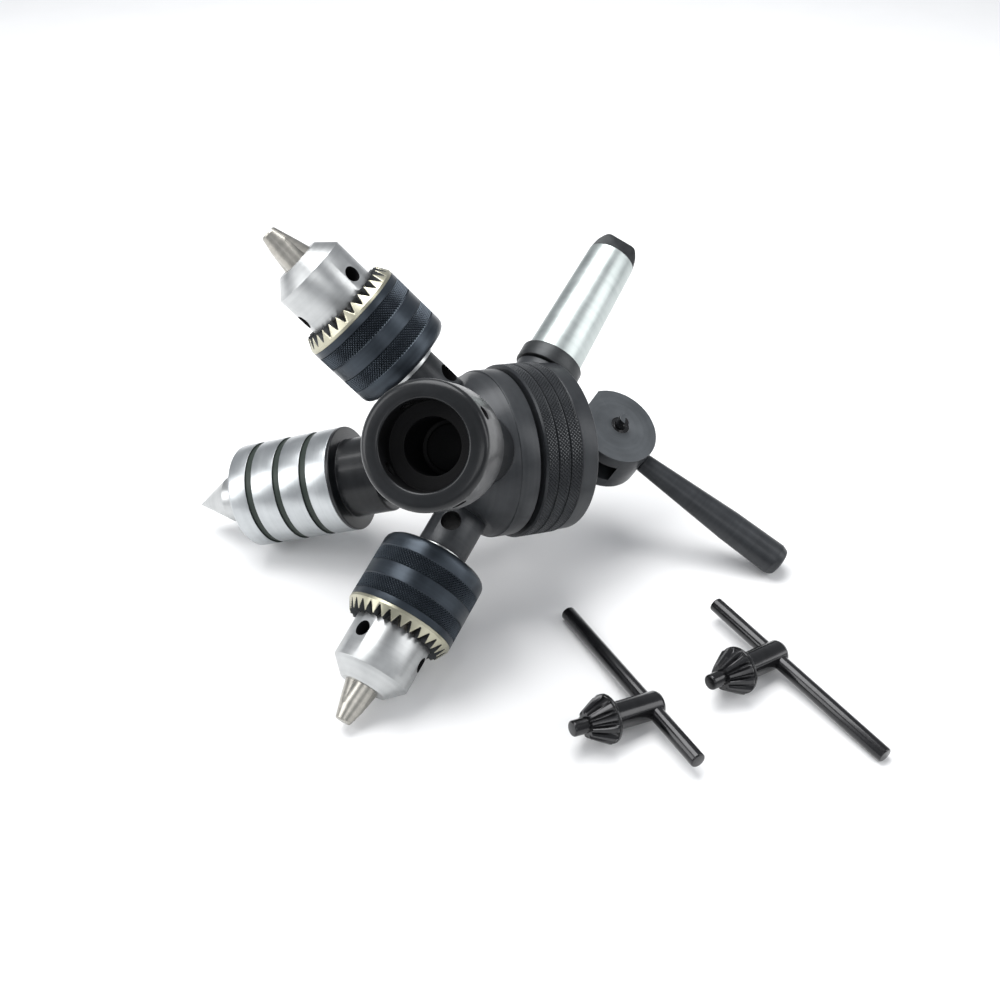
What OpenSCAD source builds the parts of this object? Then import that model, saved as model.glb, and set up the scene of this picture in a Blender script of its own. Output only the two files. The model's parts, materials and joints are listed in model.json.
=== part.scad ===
// Four-station indexing tailstock turret: two keyed drill chucks, a revolving
// centre and a round-die holder on one indexing head, with a taper shank, a cam
// lock lever and the two chuck keys. Millimetres, +Z up, resting on the bench.

/* [Turret] */
// angle between the turret axis and every station axis, degrees
station_deg = 48; // [45:0.5:50]
// radius of the knurled grip on the base
base_r = 35; // [30:0.5:40]
// radius of the indexing head flange
head_r = 33.5; // [28:0.5:38]
// radius of the domed front of the indexing head
dome_r = 34.2; // [32:0.1:40]
// diameter of the clamping draw rod
rod_d = 12; // [8:0.5:16]

/* [Drill chucks] */
// outside diameter of the chuck sleeve
sleeve_d = 43; // [38:0.5:48]
// length of the sleeve behind the ring gear
sleeve_len = 28.6; // [24:0.2:34]
// width of the ring gear
ring_len = 5.7; // [4:0.1:8]
// number of ring gear teeth
ring_teeth = 30; // [24:1:36]
// diameter of the nose of the chuck body
nose_d = 31; // [26:0.5:34]
// length from the back of the sleeve to the front of the nose
nose_len = 57; // [50:0.5:62]
// how far the closed jaws stand out of the nose
jaw_out = 14.6; // [10:0.2:20]
// slope of the jaws to the chuck axis, degrees
jaw_tilt = 14.5; // [12:0.5:18]
// diameter of a jaw
jaw_d = 9.2; // [7:0.2:11]
// diameter of the key pilot holes in the nose
pilot_d = 6.2; // [5:0.1:8]
// distance from the turret centre to the back of a chuck sleeve
chuck_at = 51.7; // [48:0.1:60]
// diameter of the chuck adapters
adapter_d = 20.5; // [18:0.5:24]
// diameter of the tommy bar hole in an adapter
tommy_d = 8; // [6:0.5:9]
// distance from the turret centre to the tommy bar hole
tommy_at = 38.2; // [37:0.2:44]
// roll of the first chuck about its own axis, degrees
roll_a = 109; // [0:1:359]
// roll of the second chuck about its own axis, degrees
roll_b = 95; // [0:1:359]
// roll of the first chuck's adapter, degrees
hole_roll_a = 39; // [0:1:359]
// roll of the second chuck's adapter, degrees
hole_roll_b = 36; // [0:1:359]

/* [Revolving centre] */
// outside diameter of the housing
live_d = 44; // [38:0.5:48]
// distance from the turret centre to the back of the housing
live_at = 67.5; // [60:0.5:80]
// length of the housing
live_len = 46.4; // [36:0.2:55]
// diameter of the rotating point
point_d = 20; // [16:0.5:24]
// how far the point's cylinder stands out of the housing
point_out = 10.8; // [6:0.2:16]

/* [Die holder] */
// outside diameter of the die holder
die_od = 43.5; // [38:0.5:50]
// diameter of the round die seat
die_seat_d = 30.2; // [20:0.1:38.2]
// depth of the round die seat
die_seat_t = 11; // [6:0.5:14]
// distance from the turret centre to the rim
die_rim = 103; // [90:1:110]

/* [Taper shank] */
// large diameter of the taper
shank_d = 23.8; // [17.8:0.1:31.2]
// length of the tapered part
shank_len = 55; // [50:1:85]
// diameter lost for each millimetre of taper
shank_taper = 0.0502; // [0.0498:0.0001:0.0503]
// distance from the turret centre to the large end
shank_at = 47.4; // [44:0.2:60]

/* [Cam lever] */
// distance from the turret centre back to the cam pivot
cam_at = 54; // [48:0.5:60]
// radius of the cam head
cam_r = 18; // [14:0.5:22]
// thickness of the cam head
cam_t = 20; // [14:0.5:24]
// how far the head's centre sits off its pivot
cam_off = 1.3; // [0.5:0.1:2]
// angle of the handle away from straight back when locked, degrees
cam_deg = 52; // [40:1:60]
// direction of the pivot pin around the turret axis, degrees
cam_az = -64.6; // [-180:0.1:180]
// length from the pivot to the end of the handle
handle_reach = 89; // [70:1:110]

/* [Chuck keys] */
// length of a key's cross bar
bar_len = 90; // [70:1:120]
// diameter of a key's cross bar
bar_d = 6; // [5:0.5:9]
// length from the bar to the end of the pilot
key_reach = 34.5; // [28:0.5:45]
// large diameter of the key pinion
pinion_d = 18.6; // [14:0.2:22]
// distance from the bar to the widest part of the pinion
pinion_at = 20; // [14:0.5:26]
// number of pinion teeth
pinion_teeth = 12; // [9:1:14]

/* [Rest pose] */
// turn of the turret from its own frame to the bench, degrees about X, Y and Z
lie = [-71.224, -48.882, 102.856]; // [-180:0.001:180]
// place of the turret centre over the bench
lie_at = [-4.114, 13.876, 57.066]; // [-200:0.001:200]
// place of the first key's bar hole on the bench
key_1_at = [51.522, -75.642]; // [-200:0.001:200]
// direction of the first key's stem on the bench, degrees
key_1_turn = 117.9; // [-180:1:180]
// how far the first key's bar is slid along its hole
key_1_slide = 14.5; // [-30:0.5:30]
// place of the second key's bar hole on the bench
key_2_at = [101.55, -50.297]; // [-200:0.001:200]
// direction of the second key's stem on the bench, degrees
key_2_turn = 125.3; // [-180:1:180]
// how far the second key's bar is slid along its hole
key_2_slide = -12.2; // [-30:0.5:30]

/* [Output] */
// which sub-part to draw

/* [Hidden] */
fit = 0.04;
gap = 0.3;
fine = 72;
mid = 48;
small = 28;
head_back = 0.3;
base_front = -1.5;
head_front = 30;
seat_r = 13.8;
seat_at = sqrt(dome_r * dome_r - seat_r * seat_r);
spigot_d = 14;
spigot_at = 22;
flange_at = 49;
sleeve_r = sleeve_d / 2;
sleeve_in = sleeve_r - 1.75;
body_r = sleeve_in - 0.09;
nose_r = nose_d / 2;
ring_back = sleeve_len;
ring_front = sleeve_len + ring_len;
nut_r = 18;
jaw_r = jaw_d / 2;
jaw_face = nose_len;
jaw_face_r = 2.35;
jaw_tip = nose_len + jaw_out;
jaw_back = 27.6;
jaw_open_r = 6.5;
thread_d = 12.7;
live_r = live_d / 2;
live_front = live_at + live_len;
die_r = die_od / 2;
cam_face = 0.1;
base_rear = -(cam_at - cam_r - cam_off - cam_face);
eye_t = 8.6;
pin_d = 8;
detent_r = 15.5;
detent_d = 6;
collar_at = 40.4;
collar_d = 27;
tang_len = 9;
tang_t = 8;
tang_roll = 70;
lip_t = 3.8;
back_r = 11;
back_out = 2.8;
stem_r = 5.3;
stem_heel = 2.6;
key_tilt = atan((pinion_d / 2 - stem_r) / (pinion_at - 0.9 + stem_heel));
key_up = stem_r * cos(key_tilt) + stem_heel * sin(key_tilt) + 0.05;

// ---------- placing ----------

module on_bench() {
    translate(lie_at)
    rotate(lie)
    children();
}

module station(az, roll = 0) {
    on_bench()
    rotate([0, 0, az])
    rotate([0, station_deg, 0])
    rotate([0, 0, roll])
    children();
}

module shank_axis() {
    on_bench()
    rotate([0, 180 - station_deg, 0])
    children();
}

// X of the cam frame points straight back along the turret axis, Z along the pin
module cam_frame(turn = 0) {
    on_bench()
    translate([0, 0, -cam_at])
    rotate([0, 0, cam_az])
    rotate([0, 90, 0])
    rotate([0, 0, turn])
    children();
}

module chuck(az, roll) {
    station(az, roll)
    translate([0, 0, chuck_at])
    children();
}

module tube(ro, ri, h, f = mid) {
    difference() {
        cylinder(r = ro, h = h, $fn = f);
        translate([0, 0, -1])
        cylinder(r = ri, h = h + 2, $fn = f);
    }
}

// ---------- base ----------

module turret_base() {
    color([0.16, 0.17, 0.18])
    on_bench()
    difference() {
        union() {
            rotate_extrude($fn = fine)
            polygon([
                [0, base_front], [base_r - 1, base_front], [base_r, base_front - 0.8],
                [base_r, -17.6], [base_r - 0.8, -18], [base_r - 0.8, -24.6],
                [base_r - 2, -25.6], [17.5, base_rear + 1], [16, base_rear + 1], [16, base_rear + 0.4],
                [0, base_rear + 0.4]
            ]);
            rotate([0, 180 - station_deg, 0])
            translate([0, 0, 24])
            cylinder(r = 12.4, h = 16, $fn = mid);
        }
        // bore for the draw rod, with the bearing at each end
        translate([0, 0, -60])
        cylinder(d = rod_d + 2 * fit, h = 80, $fn = mid);
        // seat of the thrust ring
        translate([0, 0, base_front - 1])
        tube(30, 21, 3);
        // seat of the cam pressure plate
        translate([0, 0, base_rear - 0.6])
        cylinder(r = 13, h = 3, $fn = mid);
        // pocket of the index ball
        rotate([0, 0, 45])
        translate([detent_r, 0, -14])
        cylinder(d = detent_d + 0.2, h = 20, $fn = small);
        // socket of the shank
        rotate([0, 180 - station_deg, 0])
        translate([0, 0, 21])
        cylinder(d = 17, h = 30, $fn = mid);
        // seat of the collar
        rotate([0, 180 - station_deg, 0])
        translate([0, 0, collar_at - fit])
        cylinder(d = collar_d + 2 * fit, h = 10, $fn = fine);
        // grip grooves between the knurled bands
        for (z = [-6.9, -12.3])
            translate([0, 0, z - 0.35])
            tube(base_r + 2, base_r - 0.7, 0.7, fine);
    }
}

module cam_seat() {
    color([0.30, 0.31, 0.32])
    on_bench()
    translate([0, 0, base_rear])
    tube(12.9, rod_d / 2 + gap, 2.4);
}

module thrust_ring() {
    color([0.66, 0.50, 0.28])
    on_bench()
    translate([0, 0, base_front - 1])
    tube(29.9, 21.1, head_back - fit - base_front + 1, fine);
}

module detent_ball() {
    color([0.75, 0.75, 0.76])
    on_bench()
    rotate([0, 0, 45])
    translate([detent_r, 0, head_back - fit - detent_d / 2])
    sphere(d = detent_d, $fn = small);
}

module detent_spring() {
    color([0.55, 0.55, 0.56])
    on_bench()
    rotate([0, 0, 45])
    translate([detent_r, 0, 0])
    for (k = [0 : 5])
        translate([0, 0, -13.4 + 1.6 * k])
        rotate_extrude($fn = small)
        translate([2.3, 0])
        circle(r = 0.4, $fn = 12);
}

module taper_shank() {
    end_d = shank_d - shank_taper * shank_len;
    color([0.66, 0.68, 0.67])
    shank_axis()
    difference() {
        union() {
            translate([0, 0, 21.4])
            cylinder(d = 17, h = shank_at - 21.4, $fn = mid);
            translate([0, 0, shank_at])
            cylinder(d1 = shank_d, d2 = end_d, h = shank_len, $fn = fine);
            translate([0, 0, shank_at + shank_len])
            rotate_extrude($fn = fine)
            polygon([
                [0, -1], [end_d / 2, 0], [end_d / 2 - 1, 5], [end_d / 2 - 2.2, tang_len - 1.6],
                [end_d / 2 - 4.4, tang_len - 0.4], [end_d / 2 - 6.5, tang_len], [0, tang_len]
            ]);
        }
        // two flats leave the tang
        for (s = [0, 180])
            rotate([0, 0, tang_roll + s])
            translate([tang_t / 2, -20, shank_at + shank_len + 0.4])
            cube([20, 40, 20]);
    }
}

module shank_collar() {
    color([0.25, 0.26, 0.26])
    shank_axis()
    difference() {
        translate([0, 0, collar_at])
        cylinder(d = collar_d, h = shank_at - collar_at, $fn = fine);
        translate([0, 0, 39])
        cylinder(d = 17, h = 12, $fn = mid);
    }
}

// ---------- draw rod and cam lever ----------

module draw_rod() {
    color([0.45, 0.46, 0.47])
    on_bench()
    difference() {
        union() {
            translate([0, 0, -cam_at + 6])
            cylinder(d = rod_d, h = cam_at - 6 + 42, $fn = mid);
            rotate([0, 0, cam_az])
            translate([-eye_t / 2, 0, -cam_at])
            rotate([0, 90, 0])
            cylinder(r = 8, h = eye_t, $fn = mid);
        }
        rotate([0, 0, cam_az])
        translate([-20, 0, -cam_at])
        rotate([0, 90, 0])
        cylinder(d = pin_d + 2 * fit, h = 40, $fn = mid);
        // cheeks of the eye
        for (s = [0, 1])
            rotate([0, 0, cam_az + 180 * s])
            translate([eye_t / 2, -10, -cam_at - 10])
            cube([10, 20, 31]);
    }
}

module rod_washer() {
    color([0.5, 0.51, 0.52])
    on_bench()
    translate([0, 0, head_front + fit])
    tube(11.5, rod_d / 2, 2, mid);
}

module rod_nut() {
    color([0.20, 0.21, 0.22])
    on_bench()
    translate([0, 0, head_front + fit + 2])
    difference() {
        intersection() {
            cylinder(r = 10.4, h = 12.5, $fn = 6);
            cylinder(r1 = 14, r2 = 8, h = 12.5, $fn = mid);
        }
        translate([0, 0, -1])
        cylinder(d = rod_d, h = 11, $fn = mid);
    }
}

module cam_head() {
    color([0.17, 0.18, 0.19])
    cam_frame()
    difference() {
        translate([-cam_off, 0, -cam_t / 2])
        cylinder(r = cam_r, h = cam_t, $fn = fine);
        // fork slot for the eye of the draw rod
        rotate([0, 0, -cam_deg])
        translate([-40, -30, -eye_t / 2 - gap])
        cube([49.5, 60, eye_t + 2 * gap]);
        // pin bore
        translate([0, 0, -20])
        cylinder(d = pin_d, h = 40, $fn = mid);
        // releasing flat, opposite the handle
        rotate([0, 0, -cam_deg])
        translate([-40 - 0.88 * cam_r, -30, -20])
        cube([40, 60, 40]);
        // socket of the handle
        rotate([0, 0, -cam_deg])
        translate([10.2, 0, 0])
        rotate([0, 90, 0])
        cylinder(d = 6, h = 20, $fn = small);
    }
}

module cam_pin() {
    color([0.12, 0.12, 0.13])
    cam_frame()
    difference() {
        union() {
            translate([0, 0, -cam_t / 2 + 0.5])
            cylinder(d = pin_d, h = cam_t - 0.7, $fn = mid);
            cylinder(d = 5, h = cam_t / 2 + 5, $fn = small);
        }
        rotate([0, 0, -30])
        translate([0, -5, cam_t / 2 + 3])
        cube([10, 10, 4]);
    }
}

module lever_handle() {
    color([0.15, 0.15, 0.16])
    cam_frame(-cam_deg)
    rotate([0, 90, 0])
    union() {
        translate([0, 0, 10.6])
        cylinder(d = 6, h = 8, $fn = small);
        translate([0, 0, 17.1])
        cylinder(d1 = 8.4, d2 = 14, h = handle_reach - 2.6 - 17.1, $fn = mid);
        translate([0, 0, handle_reach - 2.6])
        cylinder(d1 = 14, d2 = 9.4, h = 2.6, $fn = mid);
    }
}

// ---------- indexing head ----------

module turret_head() {
    color([0.19, 0.20, 0.22])
    on_bench()
    difference() {
        union() {
            rotate_extrude($fn = fine)
            intersection() {
                union() {
                    circle(r = dome_r, $fn = 96);
                    translate([0, head_back])
                    square([head_r, 8.4]);
                }
                translate([0, head_back])
                square([head_r, head_front - head_back]);
            }
        }
        // bore of the bush
        translate([0, 0, -1])
        cylinder(r = 9, h = 60, $fn = mid);
        // the four stations: a faced seat and a bore
        for (az = [0 : 90 : 270])
            rotate([0, 0, az])
            rotate([0, station_deg, 0]) {
                translate([0, 0, spigot_at])
                cylinder(d = spigot_d, h = 40, $fn = mid);
                translate([0, 0, seat_at])
                cylinder(r = seat_r + 0.2, h = 20, $fn = mid);
            }
        // index dimples
        for (az = [0 : 90 : 270])
            rotate([0, 0, 45 + az])
            translate([detent_r, 0, -1.3])
            sphere(d = detent_d + 0.2, $fn = small);
    }
}

module head_bush() {
    color([0.70, 0.53, 0.30])
    on_bench()
    translate([0, 0, head_back + 0.4])
    tube(9, rod_d / 2 + fit, head_front - head_back - 0.8, mid);
}

// ---------- drill chucks ----------

module chuck_adapter(az, roll) {
    color([0.17, 0.17, 0.18])
    station(az, roll)
    difference() {
        union() {
            translate([0, 0, spigot_at + 0.5])
            cylinder(d = spigot_d, h = 20, $fn = mid);
            translate([0, 0, seat_at])
            cylinder(d = adapter_d, h = chuck_at - back_out - seat_at, $fn = mid);
            translate([0, 0, chuck_at - back_out - 0.5])
            cylinder(d = thread_d, h = 13.5 + back_out, $fn = mid);
        }
        translate([0, 0, tommy_at])
        rotate([90, 0, 0])
        translate([0, 0, -20])
        cylinder(d = tommy_d, h = 40, $fn = small);
    }
}

module jaw_bore(r, h0, h1) {
    translate([jaw_face_r, 0, jaw_face])
    rotate([0, -jaw_tilt, 0])
    translate([0, 0, h0])
    cylinder(r = r, h = h1 - h0, $fn = mid);
}

module chuck_body(az, roll) {
    color([0.78, 0.79, 0.80])
    chuck(az, roll)
    difference() {
        rotate_extrude($fn = fine)
        polygon([
            [0, -back_out], [back_r - 0.4, -back_out], [back_r, 0.4 - back_out], [back_r, 1.4],
            [17, 1.4], [body_r, 2.9],
            [body_r, 26.6], [12.4, 26.6], [12.4, 33.6],
            [nose_r, 33.6], [nose_r, nose_len - 5.9], [9.5, nose_len], [0, nose_len]
        ]);
        translate([0, 0, -back_out - 1])
        cylinder(d = thread_d, h = 15 + back_out, $fn = mid);
        cylinder(d = 7, h = 80, $fn = small);
        for (k = [0 : 2])
            rotate([0, 0, 120 * k])
            jaw_bore(jaw_r + fit, -64, 12);
        for (k = [0 : 2])
            rotate([0, 0, 120 * k + 60])
            translate([9.6, 0, ring_front + 5.5])
            rotate([0, 90, 0])
            cylinder(d = pilot_d, h = 10, $fn = small);
    }
}

module chuck_sleeve(az, roll) {
    rim = 3.5;
    color([0.13, 0.16, 0.21])
    chuck(az, roll)
    rotate_extrude($fn = fine)
    difference() {
        union() {
            translate([sleeve_r - rim, rim])
            circle(r = rim, $fn = mid);
            translate([17.4, 0])
            square([sleeve_r - rim - 17.4, rim + 1]);
            translate([17.4, rim])
            square([sleeve_r - 17.4, sleeve_len - rim]);
        }
        polygon([
            [0, -1], [17.4, -1], [17.4, 1.2], [sleeve_in, 2.4], [sleeve_in, 27], [nut_r, 27],
            [nut_r, sleeve_len + 1], [0, sleeve_len + 1]
        ]);
    }
}

module ring_gear(az, roll) {
    color([0.72, 0.70, 0.60])
    chuck(az, roll)
    difference() {
        rotate_extrude($fn = fine)
        polygon([
            [nut_r, ring_back], [sleeve_r, ring_back], [sleeve_r, ring_front - 4.5],
            [sleeve_r - 2.6, ring_front], [nose_r + 0.2, ring_front],
            [nose_r + 0.2, ring_front - lip_t], [nut_r, ring_front - lip_t]
        ]);
        for (k = [0 : ring_teeth - 1])
            rotate([0, 0, 360 / ring_teeth * k])
            translate([nose_r - 0.5, 0, ring_front - 2.6])
            rotate([0, 99.1, 0])
            linear_extrude(height = 8)
            polygon([[0.3, -0.15], [0.3, 0.15], [-7, 4.1], [-7, -4.1]]);
    }
}

module split_nut(az, roll) {
    color([0.62, 0.63, 0.64])
    chuck(az, roll)
    difference() {
        translate([0, 0, 27.2])
        cylinder(r = nut_r, h = ring_front - lip_t - 27.2, $fn = mid);
        translate([0, 0, 26])
        cylinder(r1 = jaw_cone(26), r2 = jaw_cone(36), h = 10, $fn = mid);
        // the nut is broken into two halves
        translate([-30, -0.1, 20])
        cube([60, 0.2, 20]);
    }
}

// outside radius that the jaws sweep at height t
function jaw_cone(t) = jaw_face_r + (jaw_face - t) * tan(jaw_tilt) + (jaw_r + 0.1) / cos(jaw_tilt);

module chuck_jaw(az, roll, k) {
    color([0.74, 0.73, 0.68])
    chuck(az, roll + 120 * k)
    intersection() {
        jaw_bore(jaw_r, -34, 20);
        // a third of the round, so the three jaws meet on the axis
        translate([0.03, 0, 0])
        linear_extrude(height = 100)
        polygon([[0, 0], [40, -69.2], [40, 69.2]]);
        rotate_extrude($fn = mid)
        polygon([
            [0, jaw_back], [12.4, jaw_back], [13.1, jaw_back + 0.8], [13.1, jaw_face - 1],
            [7.1, jaw_face + 0.2], [3.2, jaw_tip - 0.5], [2.8, jaw_tip], [0, jaw_tip]
        ]);
    }
}

module adapter_a() { chuck_adapter(0, hole_roll_a); }
module body_a() { chuck_body(0, roll_a); }
module sleeve_a() { chuck_sleeve(0, roll_a); }
module ring_gear_a() { ring_gear(0, roll_a); }
module split_nut_a() { split_nut(0, roll_a); }
module jaw_a1() { chuck_jaw(0, roll_a, 0); }
module jaw_a2() { chuck_jaw(0, roll_a, 1); }
module jaw_a3() { chuck_jaw(0, roll_a, 2); }
module adapter_b() { chuck_adapter(180, hole_roll_b); }
module body_b() { chuck_body(180, roll_b); }
module sleeve_b() { chuck_sleeve(180, roll_b); }
module ring_gear_b() { ring_gear(180, roll_b); }
module split_nut_b() { split_nut(180, roll_b); }
module jaw_b1() { chuck_jaw(180, roll_b, 0); }
module jaw_b2() { chuck_jaw(180, roll_b, 1); }
module jaw_b3() { chuck_jaw(180, roll_b, 2); }

// ---------- revolving centre ----------

module centre_neck() {
    color([0.14, 0.15, 0.16])
    station(90)
    union() {
        translate([0, 0, spigot_at + 0.5])
        cylinder(d = spigot_d, h = 14, $fn = mid);
        translate([0, 0, seat_at])
        cylinder(d = 25, h = flange_at - seat_at + 1, $fn = mid);
        translate([0, 0, flange_at])
        cylinder(d = 33, h = live_at - 1.6 - flange_at, $fn = fine);
        translate([0, 0, live_at - 1.6])
        cylinder(d = live_d, h = 1.6, $fn = fine);
        translate([0, 0, live_at])
        cylinder(d = 30, h = 6, $fn = mid);
    }
}

module centre_housing() {
    color([0.76, 0.78, 0.80])
    station(90)
    difference() {
        rotate_extrude($fn = fine)
        polygon([
            [14, live_at], [live_r, live_at], [live_r, live_front - 1], [live_r - 1, live_front],
            [18.5, live_front], [18.5, live_front - 14], [13, live_front - 14],
            [13, live_at + 18], [14, live_at + 18], [14, live_at + 6], [15, live_at + 6], [15, live_at]
        ]);
        for (z = [9.2, 21.8, 34.9])
            translate([0, 0, live_at + z])
            tube(live_r + 2, live_r - 0.7, 3, fine);
    }
}

module centre_cap() {
    color([0.72, 0.74, 0.76])
    station(90)
    translate([0, 0, live_front - 5])
    tube(18.5, point_d / 2 + gap, 4.6, fine);
}

module race(ro, ri, z, w, rb, rm) {
    station(90)
    translate([0, 0, z])
    difference() {
        tube(ro, ri, w);
        translate([0, 0, w / 2])
        rotate_extrude($fn = mid)
        translate([rm, 0])
        circle(r = rb, $fn = 24);
    }
}

module balls(z, n, rm, rb) {
    station(90)
    translate([0, 0, z])
    for (k = [0 : n - 1])
        rotate([0, 0, 360 / n * k])
        translate([rm, 0, 0])
        sphere(r = rb, $fn = 16);
}

module front_race_out() {
    color([0.6, 0.6, 0.62])
    race(18.5, 16.2, live_front - 14, 9, 2.85, 14.25);
}

module front_race_in() {
    color([0.6, 0.6, 0.62])
    race(12.3, 10, live_front - 14, 9, 2.85, 14.25);
}

module front_balls() {
    color([0.8, 0.8, 0.82])
    balls(live_front - 9.5, 10, 14.25, 2.75);
}

module rear_race_out() {
    color([0.6, 0.6, 0.62])
    race(14, 12, live_at + 8, 8, 2.5, 10);
}

module rear_race_in() {
    color([0.6, 0.6, 0.62])
    race(8, 6, live_at + 8, 8, 2.5, 10);
}

module rear_balls() {
    color([0.8, 0.8, 0.82])
    balls(live_at + 12, 9, 10, 2.4);
}

module centre_clip() {
    color([0.35, 0.35, 0.36])
    station(90)
    translate([0, 0, live_at + 6.7])
    tube(7.6, 5.6, 1, small);
}

module centre_point() {
    color([0.74, 0.74, 0.74])
    station(90)
    difference() {
        rotate_extrude($fn = fine)
        polygon([
            [0, live_at + 6.4], [5.6, live_at + 6.4], [6, live_at + 6.8], [6, live_at + 16],
            [11.4, live_at + 16], [11.4, live_front - 14], [point_d / 2, live_front - 14],
            [point_d / 2, live_front + point_out],
            [0.25, live_front + point_out + (point_d / 2 - 0.25) / tan(30)],
            [0, live_front + point_out + (point_d / 2 - 0.25) / tan(30)]
        ]);
        translate([0, 0, live_at + 6.6])
        tube(9, 5.6, 1.2, small);
    }
}

// ---------- die holder ----------

module die_arbor() {
    color([0.16, 0.17, 0.18])
    station(270)
    union() {
        translate([0, 0, spigot_at + 0.5])
        cylinder(d = spigot_d, h = 14, $fn = mid);
        translate([0, 0, seat_at])
        cylinder(d = 27, h = 60 - seat_at, $fn = mid);
        translate([0, 0, 59])
        cylinder(d = 17, h = 12, $fn = mid);
    }
}

module die_cup() {
    color([0.15, 0.16, 0.18])
    station(270)
    difference() {
        rotate_extrude($fn = fine)
        polygon([
            [8.5, 60], [13.5, 60], [13.5, 63], [die_r - 0.6, 80], [die_r, 81.5],
            [die_r, die_rim - 2.2], [die_r - 2.2, die_rim],
            [die_seat_d / 2 + 0.9, die_rim], [die_seat_d / 2, die_rim - 0.9],
            [die_seat_d / 2, die_rim - die_seat_t], [9.8, die_rim - die_seat_t], [9.8, 71.2], [8.5, 71.2]
        ]);
        for (k = [0 : 3])
            rotate([0, 0, 20 + 90 * k])
            translate([0, 0, die_rim - die_seat_t / 2 - 0.6])
            rotate([0, 90, 0])
            cylinder(d = 5, h = 40, $fn = small);
    }
}

module die_screws() {
    color([0.10, 0.10, 0.11])
    station(270)
    for (k = [0 : 3])
        rotate([0, 0, 20 + 90 * k])
        translate([0, 0, die_rim - die_seat_t / 2 - 0.6])
        rotate([0, 90, 0])
        difference() {
            translate([0, 0, die_seat_d / 2 + 0.4])
            cylinder(d = 5, h = 5.6, $fn = small);
            translate([0, 0, die_seat_d / 2 + 3.4])
            cylinder(d = 2.9, h = 10, $fn = 6);
        }
}

// ---------- chuck keys ----------

// roll of a lying key, down to the long end of its bar
function key_roll(slide) = sign(slide) * (asin(key_up / cos(key_tilt) / norm([bar_d / 2, long_end(slide)]))
    - atan2(bar_d / 2, long_end(slide)));
function long_end(slide) = bar_len / 2 - 0.6 + abs(slide);

// bar along X, stem along Y, lying on the bench
module key_frame(at, turn, slide) {
    translate([at[0], at[1], key_up])
    rotate([0, 0, turn])
    rotate([key_tilt, 0, 0])
    rotate([0, key_roll(slide), 0])
    children();
}

module key_stem(at, turn, slide) {
    root = 0.62;
    color([0.09, 0.09, 0.10])
    key_frame(at, turn, slide)
    rotate([-90, 0, 0])
    difference() {
        rotate_extrude($fn = mid)
        polygon([
            [0, -3.9], [4, -3.9], [4.9, -3.4], [stem_r, -stem_heel], [stem_r, pinion_at - 1.4],
            [pinion_d / 2 - 0.5, pinion_at - 1.4], [pinion_d / 2, pinion_at - 0.9],
            [pinion_d / 2, pinion_at + 0.6], [5.4, pinion_at + 8], [4.6, pinion_at + 8.6],
            [2.95, pinion_at + 8.6], [2.95, key_reach - 0.8], [2.3, key_reach], [0, key_reach]
        ]);
        // bevel tooth spaces
        for (k = [0 : pinion_teeth - 1])
            rotate([0, 0, 360 / pinion_teeth * (k + 0.5)])
            translate([pinion_d / 2 + root, 0, pinion_at - 2])
            rotate([0, -27, 0])
            rotate([0, 0, 45])
            cylinder(r1 = 1.9, r2 = 0.9, h = 13, $fn = 4);
        // hole that the bar slides in
        rotate([0, 90, 0])
        translate([0, 0, -20])
        cylinder(d = bar_d + 2 * fit, h = 40, $fn = mid);
    }
}

module key_bar(at, turn, slide) {
    color([0.09, 0.09, 0.10])
    key_frame(at, turn, slide)
    translate([slide, 0, 0])
    rotate([0, 90, 0])
    rotate_extrude($fn = mid)
    polygon([
        [0, -bar_len / 2], [bar_d / 2 - 0.6, -bar_len / 2], [bar_d / 2, -bar_len / 2 + 0.6],
        [bar_d / 2, bar_len / 2 - 0.6], [bar_d / 2 - 0.6, bar_len / 2], [0, bar_len / 2]
    ]);
}

module key_stem_1() { key_stem(key_1_at, key_1_turn, key_1_slide); }
module key_bar_1() { key_bar(key_1_at, key_1_turn, key_1_slide); }
module key_stem_2() { key_stem(key_2_at, key_2_turn, key_2_slide); }
module key_bar_2() { key_bar(key_2_at, key_2_turn, key_2_slide); }

turret_base();
taper_shank();
shank_collar();
thrust_ring();
detent_ball();
detent_spring();
cam_seat();
draw_rod();
rod_washer();
rod_nut();
cam_head();
cam_pin();
lever_handle();
turret_head();
head_bush();
adapter_a();
body_a();
sleeve_a();
ring_gear_a();
split_nut_a();
jaw_a1();
jaw_a2();
jaw_a3();
adapter_b();
body_b();
sleeve_b();
ring_gear_b();
split_nut_b();
jaw_b1();
jaw_b2();
jaw_b3();
centre_neck();
centre_housing();
centre_cap();
front_race_out();
front_balls();
rear_race_out();
rear_balls();
centre_point();
front_race_in();
rear_race_in();
centre_clip();
die_arbor();
die_cup();
die_screws();
key_stem_1();
key_bar_1();
key_stem_2();
key_bar_2();
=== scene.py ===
"""Looks of a four-station tailstock turret with two keyed drill chucks and their keys.

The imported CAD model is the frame. Every turned piece is built here in its own frame, with its
axis along local Z and its sizes in millimetres, and is then placed from the record's joints
and mounts.
"""

import json
import math

import bmesh
import bpy
from mathutils import Matrix, Vector


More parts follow.
